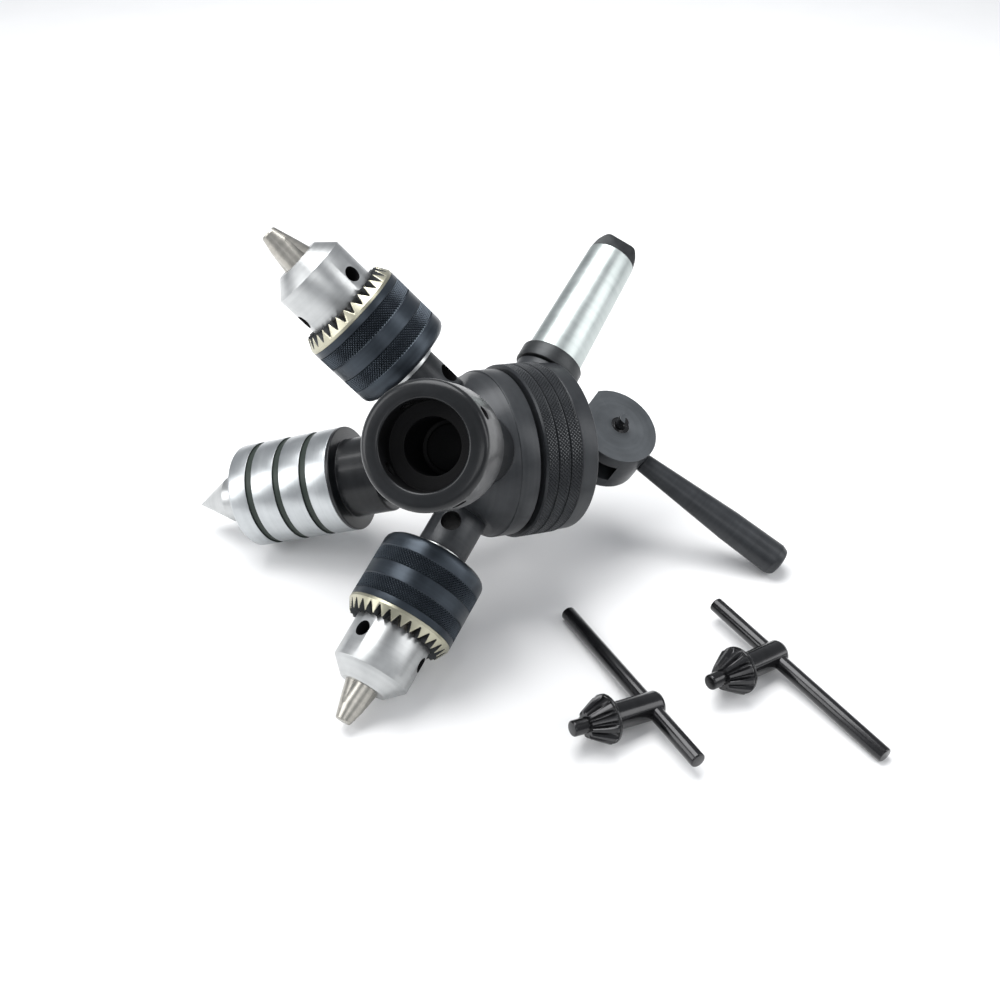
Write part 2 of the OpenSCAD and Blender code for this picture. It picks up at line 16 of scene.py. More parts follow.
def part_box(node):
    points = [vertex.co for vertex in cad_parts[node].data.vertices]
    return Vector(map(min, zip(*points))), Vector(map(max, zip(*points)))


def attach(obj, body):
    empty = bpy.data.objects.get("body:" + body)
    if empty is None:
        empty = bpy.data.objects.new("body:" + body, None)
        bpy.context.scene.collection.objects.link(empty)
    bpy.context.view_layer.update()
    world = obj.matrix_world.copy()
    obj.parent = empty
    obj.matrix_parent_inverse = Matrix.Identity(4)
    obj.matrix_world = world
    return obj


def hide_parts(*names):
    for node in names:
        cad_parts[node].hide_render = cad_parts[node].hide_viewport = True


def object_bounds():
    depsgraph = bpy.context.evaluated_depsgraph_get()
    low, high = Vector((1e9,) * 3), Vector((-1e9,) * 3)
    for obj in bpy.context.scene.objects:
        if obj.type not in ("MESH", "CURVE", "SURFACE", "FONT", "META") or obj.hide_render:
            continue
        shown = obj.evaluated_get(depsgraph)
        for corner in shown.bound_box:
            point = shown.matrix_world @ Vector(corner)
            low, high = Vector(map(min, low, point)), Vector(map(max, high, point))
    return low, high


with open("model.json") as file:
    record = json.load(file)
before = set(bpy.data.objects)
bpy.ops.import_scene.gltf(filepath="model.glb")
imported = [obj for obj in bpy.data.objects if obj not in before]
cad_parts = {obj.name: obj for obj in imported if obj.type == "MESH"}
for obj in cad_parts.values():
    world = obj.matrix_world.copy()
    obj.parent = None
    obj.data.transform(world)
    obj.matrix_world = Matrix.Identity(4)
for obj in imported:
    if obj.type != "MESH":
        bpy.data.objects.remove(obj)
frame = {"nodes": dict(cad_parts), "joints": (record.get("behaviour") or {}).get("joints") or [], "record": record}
cad_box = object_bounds()

MM = 0.001
joints = {j["name"]: j for j in frame["joints"]}
mounts = {m["name"]: m for m in frame["record"]["mounts"]}


# ---------- frames ----------


def axes(origin, z, x):
    """A frame at origin with Z along z and X as near to x as it can be."""
    z = Vector(z).normalized()
    x = Vector(x)
    x = (x - x.dot(z) * z).normalized()
    y = z.cross(x)
    return Matrix.Translation(Vector(origin)) @ Matrix((x, y, z)).transposed().to_4x4()


def turn(axis, degrees):
    return Matrix.Rotation(math.radians(degrees), 4, axis)


def shift(x=0, y=0, z=0):
    return Matrix.Translation(Vector((x, y, z)) * MM)


def roll_about(place, direction):
    """Degrees from the X axis of place to direction, seen along its Z axis."""
    local = place.to_3x3().inverted() @ Vector(direction)
    return math.degrees(math.atan2(local.y, local.x))


chuck_a_axis = -Vector(joints["chuck_a_sleeve"]["axis"])
turret_axis = Vector(joints["turret_index"]["axis"])
TURRET = axes(joints["turret_index"]["pos_m"], turret_axis, chuck_a_axis)
STATION_DEG = math.degrees(chuck_a_axis.angle(turret_axis))


def station(azimuth):
    """A station's frame: Z runs out along its axis, from the middle of the turret."""
    return TURRET @ turn("Z", azimuth) @ turn("Y", STATION_DEG)


STATIONS = {"a": 0, "centre": 90, "b": 180, "die": 270}
SHANK = TURRET @ turn("Y", 180 - STATION_DEG)
CAM = axes(joints["cam_lever"]["pos_m"], joints["cam_lever"]["axis"], -turret_axis)


# ---------- mesh helpers ----------


def rounded(outline, steps=4):
    """The outline with its corners rounded. A point is (r, z) or (r, z, corner radius).

    A fourth item marks the start of a knurled band, and is its number of rows.
    """
    flat = [(Vector(p[:2]), p[2] if len(p) > 2 else 0, p[3] if len(p) > 3 else 0) for p in outline]
    made = []
    for i, (p, radius, rows) in enumerate(flat):
        if not radius:
            made.append((p.x, p.y, rows))
            continue
        before = (flat[i - 1][0] - p).normalized()
        after = (flat[(i + 1) % len(flat)][0] - p).normalized()
        half = before.angle(after) / 2
        reach = radius / math.tan(half)
        centre = p + (before + after).normalized() * radius / math.sin(half)
        start, end = p + before * reach - centre, p + after * reach - centre
        sweep = start.angle_signed(end)
        for k in range(steps + 1):
            q = centre + Matrix.Rotation(-sweep * k / steps, 2) @ start
            made.append((q.x, q.y, 0))
    return made


def ring(bm, r, z, columns):
    if r < 1e-6:
        return [bm.verts.new((0, 0, z * MM))] * columns
    return [
        bm.verts.new((r * math.cos(a) * MM, r * math.sin(a) * MM, z * MM))
        for a in (2 * math.pi * i / columns for i in range(columns))
    ]


def face(bm, *corners):
    kept = [v for i, v in enumerate(corners) if v is not corners[i - 1]]
    if len(set(kept)) == len(kept) >= 3:
        bm.faces.new(kept)


def diamond_band(bm, low, high, r, z0, z1, rows, depth, flat=0.22):
    """Diamond knurling between two rings of vertices: blunt pyramids in a crossed lattice."""
    columns = len(low)
    for edge in low[1::2] + high[1::2]:
        edge.co.xy *= (r + depth) / r
    grid = {(i, 0): v for i, v in enumerate(low)}
    grid.update({(i, 2 * rows): v for i, v in enumerate(high)})

    def point(i, j, radius):
        a = 2 * math.pi * i / columns
        z = z0 + (z1 - z0) * j / (2 * rows)
        return bm.verts.new((radius * math.cos(a) * MM, radius * math.sin(a) * MM, z * MM))

    for j in range(1, 2 * rows):
        for i in range(j % 2, columns, 2):
            grid[i, j] = point(i, j, r)
    for j in range(2 * rows + 1):
        for i in range((j + 1) % 2, columns, 2):
            west, east = grid[(i - 1) % columns, j], grid[(i + 1) % columns, j]
            if j in (0, 2 * rows):
                inner = grid[i, 1] if j == 0 else grid[i, 2 * rows - 1]
                face(bm, west, grid[i, j], inner)
                face(bm, grid[i, j], east, inner)
                continue
            south, north = grid[i, j - 1], grid[i, j + 1]
            around = (west, south, east, north)
            top = [
                point(i + flat * di, j + flat * dj, r + depth)
                for di, dj in ((-1, 0), (0, -1), (1, 0), (0, 1))
            ]
            face(bm, *top)
            for k in range(4):
                face(bm, around[k], around[(k + 1) % 4], top[(k + 1) % 4], top[k])


def finished(name, bm, smooth=34):
    bmesh.ops.remove_doubles(bm, verts=bm.verts, dist=1e-8)
    bmesh.ops.recalc_face_normals(bm, faces=bm.faces)
    mesh = bpy.data.meshes.new(name)
    bm.to_mesh(mesh)
    bm.free()
    mesh.materials.append(None)
    mesh.shade_smooth()
    mesh.set_sharp_from_angle(angle=math.radians(smooth))
    made = bpy.data.objects.new(name, mesh)
    bpy.context.scene.collection.objects.link(made)
    return made


def turned(name, outline, columns=192, knurl_depth=0.3, smooth=34):
    """A turned piece: the outline, (r, z) points in mm, swept round local Z."""
    bm = bmesh.new()
    points = rounded(outline)
    rings = [ring(bm, r, z, columns) for r, z, _ in points]
    whole = points[0][0] > 1e-6
    for k in range(len(points) - (0 if whole else 1)):
        low, high = rings[k], rings[(k + 1) % len(points)]
        r, z, rows = points[k]
        if rows:
            z_end = points[(k + 1) % len(points)][1]
            diamond_band(bm, low, high, r, z, z_end, rows, knurl_depth)
            continue
        for i in range(columns):
            n = (i + 1) % columns
            face(bm, low[i], low[n], high[n], high[i])
    return finished(name, bm, smooth)


def prism(name, corners, low, high):
    """A straight piece on an outline of (x, y) corners in mm, from z = low to z = high."""
    bm = bmesh.new()
    ends = [[bm.verts.new((x * MM, y * MM, z * MM)) for x, y in corners] for z in (low, high)]
    bm.faces.new(ends[0])
    bm.faces.new(ends[1])
    for i in range(len(corners)):
        n = (i + 1) % len(corners)
        bm.faces.new((ends[0][i], ends[0][n], ends[1][n], ends[1][i]))
    return finished(name, bm)


def block(low, high):
    """A box for cutting, from its lowest to its highest corner in mm."""
    (x0, y0, z0), (x1, y1, z1) = low, high
    return prism("cutter", [(x0, y0), (x1, y0), (x1, y1), (x0, y1)], z0, z1)


# a small roll that keeps a round cutter's edges off the edges of what it cuts
OFF_SEAM = turn("Z", 1.3)


def rod(radius, low, high, columns=64):
    """A cylinder for cutting, along local Z, in mm."""
    return turned("cutter", [(0, low), (radius, low), (radius, high), (0, high)], columns)


def lined(cutter, material):
    """A cutter whose faces leave their own material on the hole; every hole here gets the painted shade of a bore.
    """
    cutter.data.materials[0] = material
    return cutter


def baked(piece):
    """Turns the piece's modifiers into its mesh."""
    depsgraph = bpy.context.evaluated_depsgraph_get()
    mesh = bpy.data.meshes.new_from_object(piece.evaluated_get(depsgraph))
    piece.modifiers.clear()
    piece.data = mesh
    return piece


def cut(piece, *cutters, soften=0.0, smooth=34, operation="DIFFERENCE"):
    """Cuts the placed cutters out of the piece, and softens the edges by that many mm."""
    for place, cutter in cutters:
        cutter.matrix_world = place
        step = piece.modifiers.new("cut", "BOOLEAN")
        step.operation = operation
        step.solver = "EXACT"
        step.material_mode = "TRANSFER"
        step.object = cutter
    bpy.context.view_layer.update()
    baked(piece)
    for _, cutter in cutters:
        bpy.data.objects.remove(cutter)
    if soften:
        edge = piece.modifiers.new("soften", "BEVEL")
        edge.width = soften * MM
        edge.segments = 2
        edge.limit_method = "ANGLE"
        edge.angle_limit = math.radians(40)
        baked(piece)
    piece.data.shade_smooth()
    piece.data.set_sharp_from_angle(angle=math.radians(smooth))
    return piece


def joined(piece, *others):
    """Adds the others' meshes, already in the piece's frame, to the piece."""
    bm = bmesh.new()
    bm.from_mesh(piece.data)
    for other in others:
        bm.from_mesh(other.data)
        bpy.data.objects.remove(other)
    bm.to_mesh(piece.data)
    bm.free()
    piece.data.shade_smooth()
    piece.data.set_sharp_from_angle(angle=math.radians(34))
    return piece


def painted(piece, material, where):
    """Gives a second material to the faces whose (radius, height) in mm passes where()."""
    piece.data.materials.append(material)
    for polygon in piece.data.polygons:
        if where(polygon.center.xy.length / MM, polygon.center.z / MM):
            polygon.material_index = len(piece.data.materials) - 1
    return piece


def fitted(piece, place, body, slot, material, *nodes):
    """Places a piece, gives it its look and body, and lets it stand for its CAD nodes."""
    piece.matrix_world = place
    piece.data.materials[0] = material
    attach(piece, body)
    if nodes:
        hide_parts(*nodes)
    return piece


# ---------- materials ----------


class Nodes:
    """Short names for building a node material."""

    def __init__(self, name):
        self.material = bpy.data.materials.new(name)
        self.material.use_nodes = True
        self.tree = self.material.node_tree
        self.shader = self.tree.nodes["Principled BSDF"]

    def add(self, kind, **settings):
        node = self.tree.nodes.new(kind)
        for key, value in settings.items():
            setattr(node, key, value)
        return node

    def link(self, source, target):
        self.tree.links.new(source, target)

    def math(self, operation, a, b=0.0, clamp=False):
        node = self.add("ShaderNodeMath", operation=operation, use_clamp=clamp)
        for socket, value in zip(node.inputs, (a, b)):
            if isinstance(value, (int, float)):
                socket.default_value = value
            else:
                self.link(value, socket)
        return node.outputs[0]

    def place(self):
        """Where the surface is in its own frame, in mm."""
        coordinates = self.add("ShaderNodeTexCoord")
        scale = self.add("ShaderNodeVectorMath", operation="SCALE")
        self.link(coordinates.outputs["Object"], scale.inputs[0])
        scale.inputs["Scale"].default_value = 1000
        return scale.outputs[0]

    def around(self, place, frequency, drift=0.02):
        """Coordinates that change with radius and height, and hardly round the axis."""
        parts = self.add("ShaderNodeSeparateXYZ")
        self.link(place, parts.inputs[0])
        x, y, z = parts.outputs
        squares = self.math("ADD", self.math("MULTIPLY", x, x), self.math("MULTIPLY", y, y))
        radius = self.math("SQRT", squares)
        joined_up = self.add("ShaderNodeCombineXYZ")
        self.link(self.math("MULTIPLY", radius, frequency), joined_up.inputs[0])
        self.link(self.math("MULTIPLY", z, frequency), joined_up.inputs[1])
        self.link(self.math("MULTIPLY", x, drift), joined_up.inputs[2])
        return joined_up.outputs[0]

    def noise(self, where, scale, detail=2.0, roughness=0.5):
        node = self.add("ShaderNodeTexNoise")
        self.link(where, node.inputs["Vector"])
        node.inputs["Scale"].default_value = scale
        node.inputs["Detail"].default_value = detail
        node.inputs["Roughness"].default_value = roughness
        return node.outputs[0]

    def ramp(self, value, *stops):
        node = self.add("ShaderNodeValToRGB")
        self.link(value, node.inputs[0])
        elements = node.color_ramp.elements
        while len(elements) < len(stops):
            elements.new(0.5)
        for element, (at, colour) in zip(elements, stops):
            element.position = at
            element.color = (*colour, 1)
        return node.outputs[0]

    def spread(self, value, low, high):
        """Carries 0..1 noise to low..high."""
        node = self.add("ShaderNodeMapRange")
        self.link(value, node.inputs[0])
        node.inputs["From Min"].default_value = 0.3
        node.inputs["From Max"].default_value = 0.7
        node.inputs["To Min"].default_value = low
        node.inputs["To Max"].default_value = high
        return node.outputs[0]

    def bump(self, height, distance, strength=1.0, under=None):
        node = self.add("ShaderNodeBump")
        self.link(height, node.inputs["Height"])
        node.inputs["Distance"].default_value = distance * MM
        node.inputs["Strength"].default_value = strength
        if under is not None:
            self.link(under, node.inputs["Normal"])
        return node.outputs[0]


def metal(name, dark, light, rough, metallic=1.0, lines=0.008, grain=0.0, coat=0.0, sheer=0.12,
          gloss=0.5):
    """Turned metal: fine tool lines round the axis, a patchy tone and an uneven sheen."""
    n = Nodes(name)
    place = n.place()
    rings_at = n.around(place, 1.0)
    patches = n.noise(place, 0.09, 3.0, 0.6)
    broad = n.noise(rings_at, 0.5, 2.0)
    tone = n.math("ADD", n.math("MULTIPLY", patches, 0.6), n.math("MULTIPLY", broad, 0.4))
    n.link(n.ramp(tone, (0.35, dark), (0.65, light)), n.shader.inputs["Base Color"])
    fine = n.noise(rings_at, 3.5, 3.0, 0.7)
    sheen = n.math("ADD", n.math("MULTIPLY", fine, 0.5), n.math("MULTIPLY", patches, 0.5))
    n.link(n.spread(sheen, rough * 0.8, rough * 1.25), n.shader.inputs["Roughness"])
    normal = n.bump(fine, lines)
    if grain:
        normal = n.bump(n.noise(place, 4.0, 3.0, 0.7), grain, under=normal)
    n.link(normal, n.shader.inputs["Normal"])
    n.shader.inputs["Metallic"].default_value = metallic
    n.shader.inputs["Specular IOR Level"].default_value = gloss
    n.shader.inputs["Coat Weight"].default_value = coat
    n.shader.inputs["Coat Roughness"].default_value = sheer
    return n.material


BLACK = metal("black_oxide", (0.006, 0.007, 0.008), (0.013, 0.014, 0.016), 0.34, 0.3, 0.003, 0.002,
              coat=0.25, sheer=0.16, gloss=0.3)
SATIN = metal("satin_black", (0.020, 0.022, 0.025), (0.034, 0.037, 0.041), 0.42, 0.35, 0.003, 0.002,
              coat=0.15, sheer=0.25, gloss=0.35)
# painted light: a lighter copy of the satin black for flat faces that catch the light
LIT_FACE = metal("painted_face_light", (0.062, 0.068, 0.074), (0.088, 0.096, 0.104), 0.44, 0.35, 0.003, 0.002)
BLUED = metal("blued_steel", (0.024, 0.031, 0.040), (0.042, 0.053, 0.066), 0.34, 0.7, 0.004)
GROUND = metal("ground_steel", (0.41, 0.42, 0.42), (0.53, 0.54, 0.54), 0.36, lines=0.003)
RING = metal("ring_steel", (0.38, 0.37, 0.28), (0.50, 0.48, 0.38), 0.34)
JAW = metal("jaw_steel", (0.34, 0.33, 0.30), (0.46, 0.44, 0.40), 0.34)
POLISHED = metal("polished_steel", (0.42, 0.44, 0.45), (0.52, 0.54, 0.55), 0.32, lines=0.005)
SHANK_STEEL = metal("shank_steel", (0.42, 0.46, 0.45), (0.52, 0.56, 0.55), 0.38)
DARK = metal("dark_steel", (0.030, 0.032, 0.034), (0.055, 0.058, 0.060), 0.40, 0.7, grain=0.004)
PLAIN = metal("plain_steel", (0.22, 0.23, 0.24), (0.34, 0.35, 0.36), 0.34)
BEARING = metal("bearing_steel", (0.52, 0.54, 0.56), (0.64, 0.65, 0.67), 0.12, lines=0.004)
BRONZE = metal("bronze", (0.36, 0.23, 0.09), (0.48, 0.32, 0.15), 0.32)
GLOSS = metal("gloss_black", (0.008, 0.008, 0.009), (0.018, 0.018, 0.020), 0.22, 0.6, coat=0.4)
# painted shade: a near-black for the insides of holes and hollows, where shade falls
BORE_SHADE = metal("unlit_bore", (0.003, 0.003, 0.003), (0.006, 0.006, 0.007), 0.60, 0.1, grain=0.004,
             gloss=0.15)
GROOVE = metal("groove_enamel", (0.020, 0.028, 0.023), (0.034, 0.044, 0.038), 0.42, 0.2, gloss=0.3)

LOOKS = {
    "black_oxide": BLACK, "satin_black": SATIN, "blued_steel": BLUED, "ground_steel": GROUND,
    "ring_steel": RING, "jaw_steel": JAW, "polished_steel": POLISHED, "shank_steel": SHANK_STEEL,
    "dark_steel": DARK, "plain_steel": PLAIN, "bearing_steel": BEARING, "bronze": BRONZE,
    "gloss_black": GLOSS,
}


def dress_cad_nodes():
    """Every CAD node gets its slot's material. Those that a piece stands for are hidden later."""
    for sub in frame["record"]["subparts"]:
        mesh = frame["nodes"][sub["node"]].data
        mesh.materials.clear()
        mesh.materials.append(LOOKS[sub["material_slot"]])
        mesh.shade_smooth()
        mesh.set_sharp_from_angle(angle=math.radians(18))


dress_cad_nodes()


# ---------- base ----------

BASE_R, BASE_FRONT, BASE_REAR = 35.0, -1.5, -34.6
ROD_HOLE_R = 6.04
GRIP_EDGES = ((-2.3, -6.5), (-7.3, -11.9), (-12.7, -17.3))
GRIP_ROWS, GRIP_DEPTH = 3, 0.45
SHANK_SPIGOT_R, BOSS_R = 8.5, 12.4
COLLAR_AT, COLLAR_R, SHANK_AT = 40.4, 13.5, 47.4


def turret_base():
    valley = BASE_R - GRIP_DEPTH
    outline = [
        (ROD_HOLE_R, BASE_FRONT), (21, BASE_FRONT), (21, BASE_FRONT - 1), (30, BASE_FRONT - 1),
        (30, BASE_FRONT), (BASE_R - 0.9, BASE_FRONT, 0.4),
    ]
    for z0, z1 in GRIP_EDGES:
        outline += [(BASE_R, z0 + 0.15), (valley, z0, 0, GRIP_ROWS), (valley, z1)]
        outline += [(BASE_R, z1 - 0.15), (valley - 0.5, z1 - 0.2), (valley - 0.5, z1 - 0.5)]
    outline += [
        (34.3, -17.7), (34.5, -18.3, 0.3), (34.5, -24.9, 0.8), (33.0, -25.9, 0.8),
        (17.5, BASE_REAR + 1, 0.4), (16, BASE_REAR + 1), (16, BASE_REAR + 0.4),
        (13, BASE_REAR + 0.4), (13, BASE_REAR + 2.4), (ROD_HOLE_R, BASE_REAR + 2.4),
    ]
    piece = turned("knurled_base", outline, columns=300, knurl_depth=GRIP_DEPTH, smooth=28)
    fitted(piece, TURRET, "base", "satin_black", SATIN, "turret_base")
    boss = turned("shank_boss", [
        (SHANK_SPIGOT_R, 24), (BOSS_R, 24), (BOSS_R, COLLAR_AT - 0.4, 0.6),
        (SHANK_SPIGOT_R, COLLAR_AT - 0.4),
    ])
    fitted(boss, SHANK, "base", "satin_black", SATIN, "turret_base")


TANG_LEN, TANG_T, TANG_ROLL = 9.0, 8.0, 70.0


def shank():
    large, taper, length = 23.8, 0.0502, 55.0
    small, end = large / 2 - taper * length / 2, SHANK_AT + length
    outline = [
        (0, 21.4), (SHANK_SPIGOT_R, 21.4), (SHANK_SPIGOT_R, SHANK_AT), (large / 2, SHANK_AT, 0.5),
        (small, end, 0.4), (small - 1, end + 5, 8), (small - 3, end + TANG_LEN, 2.5),
        (0, end + TANG_LEN),
    ]
    piece = turned("morse_shank", outline, columns=160)
    flats = [
        (turn("Z", TANG_ROLL + side), block((TANG_T / 2, -20, end + 0.4), (20, 20, end + 20)))
        for side in (0, 180)
    ]
    cut(piece, *flats, soften=0.25)
    painted(piece, DARK, lambda r, z: z > end + 0.2)
    fitted(piece, SHANK, "base", "shank_steel", SHANK_STEEL, "taper_shank")
    collar = turned("collar", [
        (SHANK_SPIGOT_R, COLLAR_AT), (COLLAR_R, COLLAR_AT, 0.5), (COLLAR_R, SHANK_AT, 0.8),
        (SHANK_SPIGOT_R, SHANK_AT),
    ])
    fitted(collar, SHANK, "base", "dark_steel", DARK, "shank_collar")


turret_base()
shank()


# ---------- cam lever ----------

CAM_R, CAM_T, CAM_OFF, LEVER_DEG = 18.0, 20.0, 1.3, 52.0
CAM_FLAT = 0.88 * CAM_R
EYE_SLOT = 9.2
PIN_R, STUB_R, STUB_OUT = 4.0, 2.5, 5.0
HANDLE_REACH = 89.0


def cam_lever():
    half = CAM_T / 2
    disc = turned("cam_disc", [(0, -half), (CAM_R, -half, 0.5), (CAM_R, half, 0.5), (0, half)])
    to_pivot = shift(CAM_OFF)
    along = to_pivot @ turn("Z", -LEVER_DEG)
    slot = EYE_SLOT / 2
    cut(
        disc,
        (along, block((-40, -30, -slot), (9.5, 30, slot))),
        (along, block((-60, -30, -20), (-CAM_FLAT, 30, 20))),
        (to_pivot, rod(PIN_R, -20, 20)),
        soften=0.25,
    )
    # the disc's flat faces are painted lighter, as painted light
    painted(disc, LIT_FACE, lambda r, z: abs(z) > half - 0.1)
    fitted(disc, CAM @ shift(-CAM_OFF), "lock_lever", "satin_black", SATIN, "cam_head")
    pin = turned("pivot_pin", [
        (0, -half + 0.5), (PIN_R, -half + 0.5), (PIN_R, half - 0.2), (STUB_R, half - 0.2),
        (STUB_R, half + STUB_OUT, 0.3), (0, half + STUB_OUT),
    ], columns=64)
    step = turn("Z", -30)
    cut(pin, (step, block((0, -5, half + STUB_OUT - 2), (10, 5, half + 9))), soften=0.15)
    # the stub's end face is painted lighter, as painted light
    painted(pin, LIT_FACE, lambda r, z: z > half + STUB_OUT - 0.1)
    fitted(pin, CAM, "lock_lever", "gloss_black", GLOSS, "cam_pin")
    end = HANDLE_REACH
    handle = turned("handle", [
        (0, 10.6), (3, 10.6), (3, 17.1), (4.1, 17.1, 0.5), (4.6, 26), (6.6, 62, 20),
        (7.0, end - 3.2, 2), (6.0, end - 0.4, 1.6), (4.6, end, 0.4), (0, end),
    ], columns=96)
    fitted(handle, CAM @ turn("Z", -LEVER_DEG) @ turn("Y", 90), "lock_lever", "satin_black", SATIN,
           "lever_handle")


cam_lever()


# ---------- indexing head ----------

DOME_R, HEAD_R, HEAD_BACK, HEAD_FRONT = 34.2, 33.5, 0.3, 30.0
DOME_AT, BUSH_R = 8.7, 9.0
SEAT_R, SEAT_GAP = 13.8, 0.2
SEAT_AT = math.sqrt(DOME_R**2 - SEAT_R**2)
SPIGOT_R, SPIGOT_AT = 7.0, 22.5


def turret_head():
    start = math.asin(DOME_AT / DOME_R)
    stop = math.asin(HEAD_FRONT / DOME_R)
    dome = [
        (DOME_R * math.cos(a), DOME_R * math.sin(a))
        for a in (start + (stop - start) * k / 24 for k in range(25))
    ]
    outline = [
        (BUSH_R, HEAD_BACK), (HEAD_R, HEAD_BACK, 0.6), (HEAD_R, DOME_AT, 0.3), *dome,
        (BUSH_R, HEAD_FRONT),
    ]
    piece = turned("index_dome", outline, columns=256)
    seats = []
    for azimuth in STATIONS.values():
        place = turn("Z", azimuth) @ turn("Y", STATION_DEG) @ OFF_SEAM
        seats.append((place, turned("cutter", [
            (0, SPIGOT_AT - 0.5), (SPIGOT_R, SPIGOT_AT - 0.5), (SPIGOT_R, SEAT_AT),
            (SEAT_R + SEAT_GAP, SEAT_AT), (SEAT_R + SEAT_GAP, 60), (0, 60),
        ], columns=128)))
    cut(piece, *seats, soften=0.3)
    fitted(piece, TURRET, "index_head", "satin_black", SATIN, "turret_head")


turret_head()


# ---------- drill chucks ----------

CHUCK_AT = 51.7
SLEEVE_R, SLEEVE_LEN = 21.5, 28.6
BODY_R, NUT_R, NECK_R = 19.66, 18.0, 12.4
KNURL_DEPTH = 0.45
KNURL_BANDS = ((7.2, 13.4), (19.6, 25.8))
RING_FRONT, RING_LIP = 34.3, 3.8
RING_CONE_DEEP, RING_CONE_WIDE = 4.5, 2.6
RING_TEETH = 30
SPACE_DEEP, SPACE_SLOPE, SPACE_FLAT, SPACE_FLANK = 3.0, 0.16, 0.15, 0.54
NOSE_R, NOSE_LEN = 15.5, 57.0
BACK_OUT, THREAD_R = 2.8, 6.35
JAW_TILT, JAW_R, JAW_FACE_R = 14.5, 4.6, 2.35
JAW_BACK, JAW_OUT, JAW_GAP = 27.6, 14.6, 0.03


def chuck_sleeve(c, place):
    valley = SLEEVE_R - KNURL_DEPTH
    outline = [(17.4, 0), (SLEEVE_R, 0, 3.4)]
    for z0, z1 in KNURL_BANDS:
        outline += [(SLEEVE_R, z0 - 0.2), (valley, z0, 0, 5), (valley, z1), (SLEEVE_R, z1 + 0.2)]
    outline += [
        (SLEEVE_R, SLEEVE_LEN, 0.15), (NUT_R, SLEEVE_LEN), (NUT_R, 27), (BODY_R + 0.09, 27),
        (BODY_R + 0.09, 2.4), (17.4, 1.2),
    ]
    piece = turned(f"knurled_sleeve_{c}", outline, columns=208, knurl_depth=KNURL_DEPTH, smooth=28)
    fitted(piece, place, f"chuck_{c}_ring", "blued_steel", BLUED, f"sleeve_{c}")


def chuck_gear(c, place):
    """The toothed ring: V-shaped spaces in its front, deepest at the inner edge."""
    per_tooth = 16
    columns = RING_TEETH * per_tooth
    inner, shoulder = NOSE_R + 0.2, SLEEVE_R - RING_CONE_WIDE
    lip_back = RING_FRONT - RING_LIP

    def front(r, k):
        """Height of the front at radius r in column k: the plain cone, or a space's flank."""
        plain = RING_FRONT - RING_CONE_DEEP / RING_CONE_WIDE * max(0, r - shoulder)
        aside = abs(k % per_tooth - per_tooth / 2) / columns * 2 * math.pi * r
        root = RING_FRONT - SPACE_DEEP - SPACE_SLOPE * (r - inner)
        return min(plain, root + max(0, aside - SPACE_FLAT) / SPACE_FLANK)

    def on_flank(polygon):
        """Whether a face of the front looks round the axis and not along it."""
        z, r = polygon.center.z / MM, polygon.center.xy.length / MM
        sideways = polygon.normal.cross(polygon.center).z ** 2
        return (
            r > inner + 0.05 and z < RING_FRONT - 0.2 and abs(polygon.normal.z) > 0.2
            and sideways > 0.1 * polygon.center.length_squared
        )

    bm = bmesh.new()
    radii = [inner + (shoulder - inner) * k / 6 for k in range(7)]
    radii += [shoulder + RING_CONE_WIDE * k / 8 for k in range(1, 9)]
    rings = [ring(bm, inner, lip_back, columns)]
    for r in radii:
        rings.append(ring(bm, r, 0, columns))
        for k, vertex in enumerate(rings[-1]):
            vertex.co.z = front(r, k) * MM
    back = ((SLEEVE_R, SLEEVE_LEN + 0.15), (SLEEVE_R - 0.15, SLEEVE_LEN), (NUT_R, SLEEVE_LEN),
            (NUT_R, lip_back))
    rings += [ring(bm, r, z, columns) for r, z in back]
    for low, high in zip(rings, rings[1:] + rings[:1]):
        for k in range(columns):
            n = (k + 1) % columns
            face(bm, low[k], low[n], high[n], high[k])
    piece = finished(f"toothed_ring_{c}", bm, 24)
    # painted shade: the flanks of the tooth spaces take dark steel
    piece.data.materials.append(DARK)
    for polygon in piece.data.polygons:
        polygon.material_index = int(on_flank(polygon))
    fitted(piece, place, f"chuck_{c}_ring", "ring_steel", RING, f"ring_gear_{c}")


def chuck_body(c, place):
    outline = [
        (THREAD_R, -BACK_OUT), (11, -BACK_OUT, 0.4), (11, 1.4), (17, 1.4), (BODY_R, 2.9),
        (BODY_R, 26.6), (NECK_R, 26.6), (NECK_R, 33.6), (NOSE_R, 33.6),
        (NOSE_R, NOSE_LEN - 5.9, 0.3), (9.5, NOSE_LEN, 0.3), (3.5, NOSE_LEN), (3.5, 14),
        (THREAD_R, 14),
    ]
    piece = turned(f"chuck_nose_{c}", outline, columns=192)
    holes = []
    for k in range(3):
        line = turn("Z", 120 * k) @ shift(JAW_FACE_R, 0, NOSE_LEN) @ turn("Y", -JAW_TILT)
        jaw = line @ OFF_SEAM
        pilot = turn("Z", 120 * k + 60) @ shift(9.6, 0, RING_FRONT + 5.5) @ turn("Y", 90)
        # the pilot holes are lined with painted shade
        holes += [(jaw, rod(JAW_R + 0.04, -64, 12)), (pilot, lined(rod(3.1, 0, 10), BORE_SHADE))]
    cut(piece, *holes, soften=0.2)
    fitted(piece, place, "index_head", "ground_steel", GROUND, f"body_{c}")


